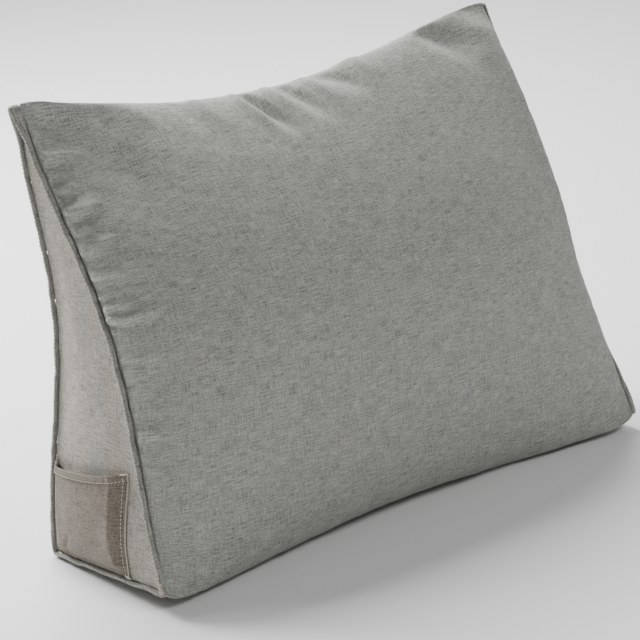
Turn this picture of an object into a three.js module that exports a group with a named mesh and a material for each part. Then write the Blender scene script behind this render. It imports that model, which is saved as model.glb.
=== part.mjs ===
// A wedge backrest pillow: one filled cushion, two triangular side panels, a raised seam round
// each panel, and a patch pocket on the left panel. Millimetres, +Z up. The crowned front face
// looks towards -Y, and left is -X.
import * as THREE from "three";
import { mergeVertices } from "three/addons/utils/BufferGeometryUtils.js";

// Driving sizes of the cushion
const footHalf = 321; // from the middle to a side seam at the floor
const topHalf = { left: 306, right: 301 }; // from the middle to a side seam at the top corner
const sideDraw = { left: 23, right: 14 }; // how far a side seam is drawn in at half height
const height = 454; // of the top corners above the floor
const baseDepth = 184; // between the front and the back corners
const lean = 25; // how far the top corners stand behind the back corners
const frontLift = 20; // of the front corners above the floor
const backLift = 3.5; // of the back corners above the floor
const frontCrown = 92; // swell of the front face before its edges are rounded
const backCrown = 23;
const edgeRounding = 54; // how far the filling rounds the long edges, in the middle
const fullnessPowers = [2.4, 0.47]; // of the swell, from seam to seam
const roundingPowers = [2, 1.33]; // of the rounding, from seam to seam
const drawPower = 1.07; // moves the tightest point of a side seam upwards
const facetCrowding = 1.15; // moves facets towards the end of each side of the section
const settle = 7; // how far the base is pressed flat in the middle
const settleReach = 120; // above the floor, where the pressing ends

// Sizes of the sewn-on pieces
const clear = 0.3; // between neighbouring pieces
const panelThick = 2;
const panelSwell = 6;
const seamThick = 5;
const seamHeight = 6.5;
const seamShoulder = 4.9; // height of the edges of a seam's rounded top
const mostOverrun = 6; // of a mitred edge past its corner
const cornerEar = { left: 6, right: 0 }; // how much further the top corner of a seam stands out
const earReach = 26; // below the top corner
const pocketThick = 1.6;
const hemThick = 3.2;
const hemDeep = 10;
const pocketGape = 14; // between the pocket and the panel, at the widest
const gapeFromBack = 0.26; // shares of the pocket's width and height over which it opens
const gapeFromFront = 0.14;
const gapeFromFoot = 0.2;
const gapeAtFoot = 0.82; // share of the gape at the foot
const pocketCorners = {
  footBack: new THREE.Vector2(88, 9),
  footFront: new THREE.Vector2(-35, 20),
  mouthFront: new THREE.Vector2(-28, 122),
  mouthBack: new THREE.Vector2(93, 101),
};

// Numbers of facets
const frontFacets = 34;
const backFacets = 20;
const baseFacets = 8;
const stations = 54; // across the width
const capRings = 3;
const pocketColumns = 20;
const pocketRows = 14;

const cloth = new THREE.MeshStandardMaterial({ color: 0x8b8d87, roughness: 0.95, metalness: 0 });
const panelCloth = new THREE.MeshStandardMaterial({ color: 0xa39f99, roughness: 0.95, metalness: 0 });

// Corners of the side seam in the YZ plane
const backCorner = new THREE.Vector2(baseDepth / 2, backLift);
const frontCorner = new THREE.Vector2(-baseDepth / 2, frontLift);
const topCorner = new THREE.Vector2(baseDepth / 2 + lean, height);

// The centre of the circle that touches the seam triangle's three sides, and its radius
const frontLength = frontCorner.distanceTo(topCorner);
const backLength = topCorner.distanceTo(backCorner);
const baseLength = backCorner.distanceTo(frontCorner);
const girth = frontLength + backLength + baseLength;
const sideCentre = new THREE.Vector2()
  .addScaledVector(backCorner, frontLength / girth)
  .addScaledVector(frontCorner, backLength / girth)
  .addScaledVector(topCorner, baseLength / girth);
const seamArea = Math.abs(
  frontCorner.clone().sub(backCorner).cross(topCorner.clone().sub(backCorner)) / 2,
);
const sideRadius = (2 * seamArea) / girth;

// Main creases of the front face, each from one point to another, as X and Z on the face.
// A positive rise is a ridge and a negative one a trough.
const creases = [
  { fromX: -60, fromZ: 424, toX: -30, toZ: 386, half: 12, rise: 4.4 },
  { fromX: -34, fromZ: 424, toX: -4, toZ: 388, half: 12, rise: -4.6 },
  { fromX: -4, fromZ: 424, toX: 32, toZ: 392, half: 12, rise: 3.4 },
  { fromX: 24, fromZ: 424, toX: 66, toZ: 394, half: 12, rise: -3.4 },
  { fromX: 54, fromZ: 428, toX: 104, toZ: 406, half: 13, rise: 3.2 },
  { fromX: 84, fromZ: 428, toX: 142, toZ: 406, half: 13, rise: -2.8 },
  { fromX: 90, fromZ: 428, toX: 190, toZ: 434, half: 38, rise: 5 },
  { fromX: 196, fromZ: 442, toX: 262, toZ: 398, half: 20, rise: -6.5 },
  { fromX: -122, fromZ: 428, toX: -92, toZ: 396, half: 14, rise: 3.2 },
  { fromX: -150, fromZ: 430, toX: -126, toZ: 402, half: 13, rise: -2.8 },
  { fromX: -204, fromZ: 438, toX: -168, toZ: 406, half: 15, rise: 3.2 },
  { fromX: -288, fromZ: 442, toX: -236, toZ: 412, half: 18, rise: -6 },
  { fromX: -299, fromZ: 388, toX: -258, toZ: 398, half: 9, rise: 3.4 },
  { fromX: -299, fromZ: 370, toX: -258, toZ: 380, half: 9, rise: -3 },
  { fromX: -292, fromZ: 268, toX: -244, toZ: 290, half: 10, rise: 3 },
  { fromX: -290, fromZ: 248, toX: -242, toZ: 262, half: 10, rise: -2.6 },
];
const puckerPitch = 40;
const puckerDeep = { left: 2.2, right: 1 };
const puckerReach = 30;
const puckerWander = { by: 0.35, over: 61, sides: 0.4 }; // makes their spacing uneven
const creaseTop = 40; // above the floor, where creases and puckers are at full height
const creaseClear = 12; // from a side seam, where they are at full height

// Rises smoothly from 0 to 1 as the value goes from one limit to the other, in either direction.
function smooth(from, to, value) {
  const share = THREE.MathUtils.clamp((value - from) / (to - from), 0, 1);
  return share * share * (3 - 2 * share);
}

// How full the cushion is across its width: 0 at the side seams and 1 in the middle.
const fullness = (u) => (1 - Math.abs(u) ** fullnessPowers[0]) ** fullnessPowers[1];

// How far the filling rounds the long edges across its width.
const roundness = (u) => (1 - Math.abs(u) ** roundingPowers[0]) ** roundingPowers[1];

// The sides are named by the sign of their X.
const sideName = (side) => (side < 0 ? "left" : "right");

// Distance of a side seam from the middle, at a height.
function seamX(side, z) {
  const share = THREE.MathUtils.clamp(z / height, 0, 1);
  const drawn = sideDraw[sideName(side)] * Math.sin(Math.PI * share ** drawPower) ** 2;
  return THREE.MathUtils.lerp(footHalf, topHalf[sideName(side)], share) - drawn;
}

// How far along a side of the cross-section each facet ends: closer together at the side's end.
const placeAlong = (share) => 1 - (1 - share) ** facetCrowding;

// Points along one side of the cross-section, swollen outwards.
function swollenSide(from, to, facets, crown) {
  const along = to.clone().sub(from);
  const out = new THREE.Vector2(-along.y, along.x).normalize();
  return Array.from({ length: facets }, (_, i) =>
    from
      .clone()
      .addScaledVector(along, placeAlong(i / facets))
      .addScaledVector(out, crown * Math.sin(Math.PI * placeAlong(i / facets))),
  );
}

// A closed loop of points with its corners rounded, each point the mean of those near it.
function rounded(loop, reach) {
  if (reach < 1) return loop;
  const steps = loop.map((p, i) => p.distanceTo(loop[(i + 1) % loop.length]));
  const total = steps.reduce((sum, s) => sum + s, 0);
  const at = [];
  steps.reduce((sum, s) => (at.push(sum), sum + s), 0);
  return loop.map((_, i) => {
    const mean = new THREE.Vector2();
    let weights = 0;
    loop.forEach((p, j) => {
      const apart = Math.abs(at[i] - at[j]);
      const arc = Math.min(apart, total - apart);
      const share = (steps[j] + steps[(j + loop.length - 1) % loop.length]) / 2;
      const weight = Math.exp(-((arc / reach) ** 2) / 2) * share;
      mean.addScaledVector(p, weight);
      weights += weight;
    });
    return mean.divideScalar(weights);
  });
}

// The cushion's cross-section at a station, from u = -1 at the left seam to 1 at the right seam.
function section(u) {
  const full = fullness(u);
  const front = new THREE.Vector2(frontCorner.x, frontCorner.y * (1 - full));
  const back = new THREE.Vector2(backCorner.x, backCorner.y * (1 - full));
  const loop = [
    ...swollenSide(front, topCorner, frontFacets, frontCrown * full),
    ...swollenSide(topCorner, back, backFacets, backCrown * full),
    ...swollenSide(back, front, baseFacets, 0),
  ];
  return rounded(loop, edgeRounding * roundness(u)).map((p) => {
    const z = Math.max(p.y - settle * full * smooth(settleReach, 0, p.y), 0);
    return new THREE.Vector3(u * seamX(u, z), p.x, z);
  });
}

// How far in from the seam each ring of an end lies. The first is the edge of the side panel.
function endInsets() {
  const edge = seamThick / 2 + clear;
  return Array.from({ length: capRings }, (_, i) => edge + (i * (sideRadius - edge)) / capRings);
}

// The seam triangle at one end, drawn in towards its centre.
function endLoop(side, inset, standOff) {
  const scale = 1 - inset / sideRadius;
  const swell = panelSwell * (1 - scale * scale) ** 2;
  return section(side).map((p) => {
    const y = sideCentre.x + (p.y - sideCentre.x) * scale;
    const z = sideCentre.y + (p.z - sideCentre.y) * scale;
    return new THREE.Vector3(side * (seamX(side, z) + swell + standOff), y, z);
  });
}

// The point in the middle of an end.
function endTip(side, standOff) {
  const out = seamX(side, sideCentre.y) + panelSwell + standOff;
  return new THREE.Vector3(side * out, sideCentre.x, sideCentre.y);
}

// Makes the triangles face outwards, whichever way round they were listed.
function facingOut(points, faces) {
  const volume = faces.reduce((sum, [a, b, c]) => {
    return sum + points[a].dot(points[b].clone().cross(points[c])) / 6;
  }, 0);
  const geometry = new THREE.BufferGeometry().setFromPoints(points);
  geometry.setIndex(faces.flatMap(([a, b, c]) => (volume > 0 ? [a, b, c] : [a, c, b])));
  geometry.computeVertexNormals();
  return geometry;
}

// Joins rings of equally many points into one closed skin that starts and ends in a tip.
function ringSkin(firstTip, rings, lastTip) {
  const n = rings[0].length;
  const points = [firstTip, ...rings.flat(), lastTip];
  const faces = [];
  const at = (ring, i) => 1 + ring * n + (i % n);
  for (let i = 0; i < n; i++) {
    faces.push([0, at(0, i + 1), at(0, i)]);
    faces.push([points.length - 1, at(rings.length - 1, i), at(rings.length - 1, i + 1)]);
    for (let r = 0; r + 1 < rings.length; r++) {
      faces.push([at(r, i), at(r, i + 1), at(r + 1, i)]);
      faces.push([at(r, i + 1), at(r + 1, i + 1), at(r + 1, i)]);
    }
  }
  return facingOut(points, faces);
}

// Joins an outer and an inner grid of points into one closed sheet.
function sheetSkin(outer, inner) {
  const rows = outer.length;
  const columns = outer[0].length;
  const points = [...outer.flat(), ...inner.flat()];
  const at = (row, column, layer) => layer * rows * columns + row * columns + column;
  const faces = [];
  const quad = (a, b, c, d) => faces.push([a, b, c], [a, c, d]);
  for (let r = 0; r + 1 < rows; r++) {
    for (let c = 0; c + 1 < columns; c++) {
      quad(at(r, c, 0), at(r, c + 1, 0), at(r + 1, c + 1, 0), at(r + 1, c, 0));
      quad(at(r, c, 1), at(r + 1, c, 1), at(r + 1, c + 1, 1), at(r, c + 1, 1));
    }
    quad(at(r, 0, 0), at(r + 1, 0, 0), at(r + 1, 0, 1), at(r, 0, 1));
    const last = columns - 1;
    quad(at(r, last, 0), at(r, last, 1), at(r + 1, last, 1), at(r + 1, last, 0));
  }
  for (let c = 0; c + 1 < columns; c++) {
    quad(at(0, c, 0), at(0, c, 1), at(0, c + 1, 1), at(0, c + 1, 0));
    quad(at(rows - 1, c, 0), at(rows - 1, c + 1, 0), at(rows - 1, c + 1, 1), at(rows - 1, c, 1));
  }
  return facingOut(points, faces);
}

// Height of one crease at a point of the front face.
function creaseAt({ fromX, fromZ, toX, toZ, half, rise }, x, z) {
  const from = new THREE.Vector2(fromX, fromZ);
  const along = new THREE.Vector2(toX, toZ).sub(from);
  const point = new THREE.Vector2(x, z).sub(from);
  const share = THREE.MathUtils.clamp(point.dot(along) / along.lengthSq(), 0, 1);
  const apart = point.addScaledVector(along, -share).length();
  const fade = 1 - 0.75 * share;
  return rise * fade * Math.exp(-((apart / half) ** 2));
}

// Uneven puckers where the swollen cloth is gathered into the side seams.
function puckerAt(x, z) {
  const fromSeam = seamX(x, z) - Math.abs(x);
  const { by, over, sides } = puckerWander;
  const phase = z / puckerPitch + by * Math.sin(z / over) + (x > 0 ? sides : 0);
  const reach = Math.exp(-fromSeam / puckerReach);
  return puckerDeep[sideName(x)] * reach * Math.sin(2 * Math.PI * phase);
}

// Raises the creases and puckers in the cushion's own points.
function creased(geometry) {
  const place = geometry.getAttribute("position");
  const normal = geometry.getAttribute("normal");
  for (let i = 0; i < place.count; i++) {
    const x = place.getX(i);
    const z = place.getZ(i);
    const facing = smooth(0.35, -0.1, normal.getY(i)) * smooth(0, creaseTop, z);
    const inboard = smooth(0, creaseClear, seamX(x, z) - Math.abs(x) - 2);
    const rise = creases.reduce((sum, crease) => sum + creaseAt(crease, x, z), 0);
    const move = facing * inboard * (rise + puckerAt(x, z));
    place.setXYZ(
      i,
      x + normal.getX(i) * move,
      place.getY(i) + normal.getY(i) * move,
      z + normal.getZ(i) * move,
    );
  }
  geometry.computeVertexNormals();
  return geometry;
}

// The filled cushion: cross-sections from seam to seam, and a swollen end inside each side panel.
function cushion() {
  const insets = endInsets();
  const across = Array.from({ length: stations + 1 }, (_, i) =>
    Math.sin((i / stations - 0.5) * Math.PI),
  );
  const rings = [
    ...[...insets].reverse().map((inset) => endLoop(-1, inset, 0)),
    ...across.map((u) => section(u)),
    ...insets.map((inset) => endLoop(1, inset, 0)),
  ];
  return creased(ringSkin(endTip(-1, 0), rings, endTip(1, 0)));
}

// A triangular side panel, laid over the end of the cushion inside its raised seam.
function sidePanel(side) {
  const insets = endInsets();
  const layers = [clear, clear + panelThick];
  const [first, last] = side < 0 ? layers : layers.reverse();
  const rings = [
    ...[...insets].reverse().map((inset) => endLoop(side, inset, first)),
    ...insets.map((inset) => endLoop(side, inset, last)),
  ];
  return ringSkin(endTip(side, first), rings, endTip(side, last));
}

// How far a mitred edge runs on past a corner, for each millimetre that it lies outside the seam.
function mitre(corner, next) {
  const half = Math.acos(
    next.clone().sub(corner).normalize().dot(sideCentre.clone().sub(corner).normalize()),
  );
  return { slope: 1 / Math.tan(half), gap: clear / 2 / Math.sin(half) };
}

// The raised seam along one side of the triangle, mitred at both corners.
function raisedSeam(side, from, to, facets) {
  const along = to.clone().sub(from);
  const length = along.length();
  along.normalize();
  const out = new THREE.Vector2(-along.y, along.x);
  const start = mitre(from, to);
  const end = mitre(to, from);
  const half = seamThick / 2;
  const profile = [
    [-half, clear],
    [-half, seamShoulder],
    [0, seamHeight],
    [half, seamShoulder],
    [half, clear],
  ];
  const rings = Array.from({ length: facets + 1 }, (_, i) =>
    profile.map(([offset, rise]) => {
      const first = Math.max(-offset * start.slope, -mostOverrun) + start.gap;
      const last = length + Math.min(offset * end.slope, mostOverrun) - end.gap;
      const at = from
        .clone()
        .addScaledVector(along, THREE.MathUtils.lerp(first, last, placeAlong(i / facets)))
        .addScaledVector(out, offset);
      const ear = cornerEar[sideName(side)] * smooth(height - earReach, height, at.y);
      const taller = 1 + (rise > clear ? ear / seamHeight : 0);
      return new THREE.Vector3(side * (seamX(side, at.y) + rise * taller), at.x, at.y);
    }),
  );
  const middle = (ring) =>
    ring.reduce((sum, p) => sum.add(p), new THREE.Vector3()).divideScalar(ring.length);
  return ringSkin(middle(rings[0]), rings, middle(rings[facets]));
}

// The patch pocket: a hemmed sheet sewn to the left panel at its back, foot and front edges.
function pocket() {
  const { footBack, footFront, mouthFront, mouthBack } = pocketCorners;
  const sheet = (layer) =>
    Array.from({ length: pocketRows + 1 }, (_, r) =>
      Array.from({ length: pocketColumns + 1 }, (_, c) => {
        const up = r / pocketRows;
        const across = c / pocketColumns;
        const at = footBack
          .clone()
          .lerp(footFront, across)
          .lerp(mouthBack.clone().lerp(mouthFront, across), up);
        const open = smooth(0, gapeFromBack, across) * smooth(1, 1 - gapeFromFront, across);
        const rise = smooth(0, gapeFromFoot, up) * THREE.MathUtils.lerp(gapeAtFoot, 1, up);
        const fromMouth = (1 - up) * (mouthFront.y - footFront.y);
        const thick = fromMouth < hemDeep ? hemThick : pocketThick;
        const standOff = panelThick + 2 * clear + pocketGape * open * rise + layer * thick;
        return new THREE.Vector3(-(panelX(at.x, at.y) + standOff), at.x, at.y);
      }),
    );
  return sheetSkin(sheet(1), sheet(0));
}

// Distance of the swollen end of the cushion from the middle, at a place on the end.
function panelX(y, z) {
  const at = new THREE.Vector2(y, z);
  const inset = Math.min(
    ...[
      [backCorner, frontCorner],
      [frontCorner, topCorner],
      [topCorner, backCorner],
    ].map(([a, b]) => Math.abs(b.clone().sub(a).normalize().cross(at.clone().sub(a)))),
  );
  const scale = 1 - inset / sideRadius;
  return seamX(-1, z) + panelSwell * (1 - scale * scale) ** 2;
}

function piece(name, geometry, material) {
  const mesh = new THREE.Mesh(mergeVertices(geometry, 1e-4), material);
  mesh.name = name;
  return mesh;
}

const pillow = new THREE.Group();
pillow.add(piece("cushion", cushion(), cloth));
const seams = [
  { edge: "front", from: frontCorner, to: topCorner, facets: frontFacets },
  { edge: "back", from: topCorner, to: backCorner, facets: backFacets },
  { edge: "base", from: backCorner, to: frontCorner, facets: baseFacets },
];
for (const side of [-1, 1]) {
  pillow.add(piece(`side_panel_${sideName(side)}`, sidePanel(side), panelCloth));
  for (const { edge, from, to, facets } of seams) {
    const seam = raisedSeam(side, from, to, facets);
    pillow.add(piece(`seam_${edge}_${sideName(side)}`, seam, cloth));
  }
}
pillow.add(piece("pocket", pocket(), panelCloth));

// The pillow stands with the middle of its base at the origin.
const bounds = new THREE.Box3().setFromObject(pillow);
const middle = bounds.getCenter(new THREE.Vector3());
pillow.position.set(-middle.x, -middle.y, -bounds.min.z);

export default pillow;
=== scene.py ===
import math

import bmesh
import bpy
import numpy as np
from mathutils import Matrix, Vector


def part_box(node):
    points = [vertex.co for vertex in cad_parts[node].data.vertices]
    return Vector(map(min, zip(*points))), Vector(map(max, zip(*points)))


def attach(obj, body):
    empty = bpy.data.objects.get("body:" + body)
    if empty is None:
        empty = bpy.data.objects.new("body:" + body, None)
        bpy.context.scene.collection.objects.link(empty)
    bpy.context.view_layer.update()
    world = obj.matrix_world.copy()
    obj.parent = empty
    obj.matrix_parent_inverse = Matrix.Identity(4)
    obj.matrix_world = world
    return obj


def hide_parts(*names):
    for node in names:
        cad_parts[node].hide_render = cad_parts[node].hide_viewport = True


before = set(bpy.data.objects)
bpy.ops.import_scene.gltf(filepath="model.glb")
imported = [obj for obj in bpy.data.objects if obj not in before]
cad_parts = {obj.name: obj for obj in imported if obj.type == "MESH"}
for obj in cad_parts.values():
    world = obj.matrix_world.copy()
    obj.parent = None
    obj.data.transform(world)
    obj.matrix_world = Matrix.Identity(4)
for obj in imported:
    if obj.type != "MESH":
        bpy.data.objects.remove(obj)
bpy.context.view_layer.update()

print("frame loaded")

# Sizes of the whole pillow, in metres. Left is -X, where the pocket is.
pillow = {
    "footHalf": 0.321,  # from the middle to a side seam at the floor
    "topHalf": (0.306, 0.301),  # the same at the top corners, left and right
    "draw": (0.023, 0.014),  # how far each side seam is drawn in
    "drawPower": 1.07,
    "height": 0.454,  # from the floor to the top corners
    "depth": 0.184,  # between the seams at the foot
    "lean": 0.025,  # how far the top corners lie behind the foot
    "frontLift": 0.020,  # of the front seam's foot off the floor
    "backLift": 0.0035,
    "frontCrown": 0.092,
    "backCrown": 0.023,
    "rounding": 0.054,  # of the long edges
    "fullness": (2.4, 0.47),  # powers of the swelling from a side seam to the middle
    "roundness": (2.0, 1.33),  # powers of the rounding, likewise
    "settle": 0.007,  # how far the weight lets the foot down
    "settleReach": 0.120,
    "panelSwell": 0.0065,
    "panelRise": 0.035,  # how far in from the seams the side panels reach their full swell
}

backCorner = np.array([pillow["depth"] / 2, pillow["backLift"]])
frontCorner = np.array([-pillow["depth"] / 2, pillow["frontLift"]])
topCorner = np.array([pillow["depth"] / 2 + pillow["lean"], pillow["height"]])
corners = (frontCorner, topCorner, backCorner)

# The circle that touches all three sides of the seam triangle
edgeLengths = [np.linalg.norm(corners[(k + 1) % 3] - corners[k]) for k in range(3)]
seamGirth = sum(edgeLengths)
sideCentre = sum(corners[k] * edgeLengths[(k + 1) % 3] for k in range(3)) / seamGirth
sideRadius = abs(np.cross(topCorner - frontCorner, backCorner - frontCorner)) / seamGirth

# The sizes count from the middle between the seams, and the frame says where that is.
cushionLow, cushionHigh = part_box("cushion")
seamLow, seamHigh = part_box("seam_base_left")
middle = np.array([(cushionLow[0] + cushionHigh[0]) / 2, (seamLow[1] + seamHigh[1]) / 2, 0.0])


def smooth(low, high, value):
    share = np.clip((np.asarray(value, float) - low) / (high - low), 0, 1)
    return share * share * (3 - 2 * share)


def unit(vectors):
    return vectors / np.maximum(np.linalg.norm(vectors, axis=-1, keepdims=True), 1e-12)


def waves(place, pitch, seed):  # an uneven wave between about -1 and 1, the same in each run
    random = np.random.default_rng(seed)
    total = 0
    for _ in range(5):
        length = pitch * random.uniform(0.6, 1.7)
        total = total + np.sin(2 * np.pi * place / length + random.uniform(0, 6.3))
    return total / 2.6


def seamX(side, z):  # distance of a side seam from the middle
    left = np.asarray(side) < 0
    share = np.clip(z / pillow["height"], 0, 1)
    drawn = np.where(left, *pillow["draw"]) * np.sin(np.pi * share ** pillow["drawPower"]) ** 2
    top = np.where(left, *pillow["topHalf"])
    return pillow["footHalf"] + (top - pillow["footHalf"]) * share - drawn


def panelX(side, y, z):  # distance of the cushion's swollen end from the middle
    spot = np.stack([y, z], -1)
    swell = pillow["panelSwell"]
    for k in range(3):
        start, along = corners[k], unit(corners[(k + 1) % 3] - corners[k])
        swell = swell * (1 - np.exp(-((np.cross(along, spot - start) / pillow["panelRise"]) ** 2)))
    return seamX(side, z) + swell


def rounded(loop, reach):  # every point of a closed loop becomes the mean of those near it
    steps = np.linalg.norm(np.roll(loop, -1, 0) - loop, axis=1)
    at = np.concatenate([[0], np.cumsum(steps)[:-1]])
    apart = np.abs(at[:, None] - at[None, :])
    arc = np.minimum(apart, steps.sum() - apart)
    owned = (steps + np.roll(steps, 1)) / 2
    weight = np.exp(-((arc / max(reach, 1e-5)) ** 2) / 2) * owned[None, :]
    return weight @ loop / weight.sum(1, keepdims=True)


# A flat grid, bent to a table of places. "weave" gives each point its place in the flat cloth.
def spreadGrid(name, spots, weave):
    rows, columns = spots.shape[:2]
    builder = bmesh.new()
    builder.loops.layers.uv.new("weave")
    builder.verts.layers.int.new("place")
    bmesh.ops.create_grid(builder, x_segments=columns - 1, y_segments=rows - 1, size=0.5)
    mesh = bpy.data.meshes.new(name)
    builder.to_mesh(mesh)
    builder.free()
    mesh.vertices.foreach_set("co", (spots + middle).astype(np.float32).ravel())
    mesh.attributes["place"].data.foreach_set("value", np.arange(rows * columns, dtype=np.int32))
    corner = np.empty(len(mesh.loops), np.int32)
    mesh.loops.foreach_get("vertex_index", corner)
    places = weave.reshape(-1, 2)[corner].astype(np.float32)
    mesh.uv_layers["weave"].data.foreach_set("uv", places.ravel())
    builder = bmesh.new()
    builder.from_mesh(mesh)
    return mesh, builder


def finishPiece(mesh, builder):  # puts the built faces in an object of its own
    bmesh.ops.recalc_face_normals(builder, faces=builder.faces)
    builder.to_mesh(mesh)
    builder.free()
    mesh.shade_smooth()
    piece = bpy.data.objects.new(mesh.name, mesh)
    bpy.context.scene.collection.objects.link(piece)
    return piece


def weld(builder):
    bmesh.ops.remove_doubles(builder, verts=builder.verts, dist=0.000002)


# The cushion

cushion = {
    "counts": (140, 34, 12),  # facets of the front, back and base, before they are halved
    "stations": 126,
    "caps": (0.94, 0.86, 0.72, 0.5, 0.25, 0),  # sizes of the rings over the ends
    "frames": 20,
    "pressure": 4.0,
    "growth": 0.03,  # spare cloth, which wrinkles at the seams
    "limit": 0.009,  # how far a point may move
    "span": 5,  # grid steps over which the swelling is taken out again
    "keep": 0.15,  # share of the wrinkles kept in most places
    "keepNear": 0.18,  # the same near the left seam and the top
    "lump": 0.0012,
    "lumpPitch": 0.13,
    "bulge": (0.0010, 0.0100),  # how far the front stands over the right seam, low and high up
    "bulgeFrom": (0.026, 0.024),  # its middle and reach from that seam
    "footFade": 0.012,  # below this height the shape lies smooth on the floor
    "sideways": 0.2,  # how much of a move along X is kept, so that the seams stay straight
}

# Creases of the front face, by X and height. A positive rise is a ridge and a negative one
# a trough, and "sharp" narrows one flank. Each fades out towards its second place.
creases = [
    {"x": (-0.056, -0.026), "z": (0.424, 0.386), "half": 0.0100, "rise": -0.0085, "sharp": 0.35},
    {"x": (-0.070, -0.044), "z": (0.422, 0.388), "half": 0.0070, "rise": 0.0042},
    {"x": (-0.036, -0.010), "z": (0.428, 0.396), "half": 0.0070, "rise": 0.0034},
    {"x": (-0.010, 0.022), "z": (0.426, 0.390), "half": 0.0085, "rise": -0.0062, "sharp": 0.45},
    {"x": (0.014, 0.050), "z": (0.426, 0.396), "half": 0.0070, "rise": 0.0030},
    {"x": (0.040, 0.084), "z": (0.430, 0.402), "half": 0.0090, "rise": -0.0060, "sharp": 0.45},
    {"x": (0.066, 0.120), "z": (0.432, 0.412), "half": 0.0080, "rise": 0.0042},
    {"x": (0.090, 0.190), "z": (0.428, 0.434), "half": 0.0380, "rise": 0.0020},
    {"x": (0.198, 0.258), "z": (0.434, 0.402), "half": 0.0130, "rise": -0.0062},
    {"x": (0.214, 0.286), "z": (0.432, 0.412), "half": 0.0100, "rise": -0.0045},
    {"x": (-0.122, -0.096), "z": (0.430, 0.398), "half": 0.0070, "rise": 0.0024},
    {"x": (-0.146, -0.124), "z": (0.432, 0.404), "half": 0.0060, "rise": -0.0020},
    {"x": (-0.204, -0.168), "z": (0.440, 0.408), "half": 0.0090, "rise": 0.0022},
    {"x": (-0.292, -0.236), "z": (0.436, 0.412), "half": 0.0110, "rise": -0.0045},
    {"x": (-0.262, -0.180), "z": (0.396, 0.396), "half": 0.0440, "rise": -0.0120},
    {"x": (-0.299, -0.303), "z": (0.452, 0.432), "half": 0.0040, "rise": -0.0045},
    {"x": (-0.293, -0.289), "z": (0.450, 0.430), "half": 0.0045, "rise": 0.0035},
    {"x": (-0.285, -0.255), "z": (0.452, 0.450), "half": 0.0120, "rise": 0.0030},
    {"x": (-0.300, -0.278), "z": (0.378, 0.387), "half": 0.0034, "rise": 0.0060},
    {"x": (-0.299, -0.276), "z": (0.371, 0.380), "half": 0.0030, "rise": -0.0024},
    {"x": (-0.299, -0.262), "z": (0.359, 0.373), "half": 0.0036, "rise": 0.0075},
    {"x": (-0.297, -0.266), "z": (0.352, 0.363), "half": 0.0036, "rise": -0.0040},
    {"x": (-0.291, -0.272), "z": (0.270, 0.287), "half": 0.0034, "rise": 0.0060},
    {"x": (-0.290, -0.246), "z": (0.261, 0.279), "half": 0.0038, "rise": 0.0068},
    {"x": (-0.289, -0.256), "z": (0.252, 0.266), "half": 0.0046, "rise": -0.0020},
    {"x": (-0.302, -0.262), "z": (0.405, 0.412), "half": 0.0044, "rise": 0.0045},
    {"x": (-0.295, -0.262), "z": (0.330, 0.341), "half": 0.0038, "rise": 0.0056},
    {"x": (-0.291, -0.262), "z": (0.304, 0.314), "half": 0.0036, "rise": 0.0054},
    {"x": (-0.290, -0.262), "z": (0.226, 0.237), "half": 0.0038, "rise": 0.0046},
]

# Puckers beside the side seams. A row runs over part of one edge of the seam triangle: 0 is its
# front, 1 its back and 2 its foot.
puckers = [
    {"side": -1, "edge": 0, "part": (0.25, 0.92),
     "pitch": 0.011, "deep": 0.0100, "reach": 0.016, "seed": 3},
    {"side": -1, "edge": 0, "part": (0.30, 0.95),
     "pitch": 0.020, "deep": 0.0048, "reach": 0.024, "seed": 8},
    {"side": -1, "edge": 1, "part": (0.06, 0.94),
     "pitch": 0.016, "deep": 0.0011, "reach": 0.026, "seed": 5},
    {"side": 1, "edge": 0, "part": (0.05, 0.96),
     "pitch": 0.014, "deep": 0.0012, "reach": 0.026, "seed": 11},
    {"side": 1, "edge": 1, "part": (0.06, 0.94),
     "pitch": 0.016, "deep": 0.0011, "reach": 0.026, "seed": 13},
    {"side": -1, "edge": 2, "part": (0.10, 0.90),
     "pitch": 0.016, "deep": 0.0009, "reach": 0.020, "seed": 17},
    {"side": 1, "edge": 2, "part": (0.10, 0.90),
     "pitch": 0.016, "deep": 0.0009, "reach": 0.020, "seed": 19},
]

# How much higher the top stands, by X. All of it counts above the second height, none below the
# first.
skyline = {
    "x": (-0.33, -0.30, -0.27, -0.20, -0.13, -0.05, 0.03, 0.07, 0.14, 0.20, 0.24, 0.28, 0.30),
    "rise": (
        0.005, 0.005, 0.0035, 0.003, 0.0005, 0.0015, 0.003, 0.0055, 0.0065, 0.008, 0.006, 0.001, 0,
    ),
    "heights": (0.34, 0.43),
}


def fullness(u):  # how far the filling swells, from 0 at the side seams to 1 in the middle
    return (1 - np.abs(u) ** pillow["fullness"][0]) ** pillow["fullness"][1]


def swollenSide(start, end, count, crown):
    along = end - start
    out = np.array([-along[1], along[0]]) / np.linalg.norm(along)
    share = (np.arange(count) / count)[:, None]
    return start + along * share + out * crown * np.sin(np.pi * share)


def section(u):  # the outline at a station from u = -1, the left seam, to 1
    full = fullness(u)
    front, back = frontCorner * (1, 1 - full), backCorner * (1, 1 - full)
    counts = cushion["counts"]
    loop = np.vstack([
        swollenSide(front, topCorner, counts[0], pillow["frontCrown"] * full),
        swollenSide(topCorner, back, counts[1], pillow["backCrown"] * full),
        swollenSide(back, front, counts[2], 0),
    ])
    power = pillow["roundness"]
    if abs(u) < 1:
        loop = rounded(loop, pillow["rounding"] * (1 - abs(u) ** power[0]) ** power[1])
    y, z = loop.T
    z = np.maximum(z - pillow["settle"] * full * smooth(pillow["settleReach"], 0, z), 0)
    return np.stack([u * seamX(u, z), y, z], 1)


def closedRound(grid):  # repeats the first column at the end
    return np.concatenate([grid, grid[:, :1]], 1)


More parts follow.
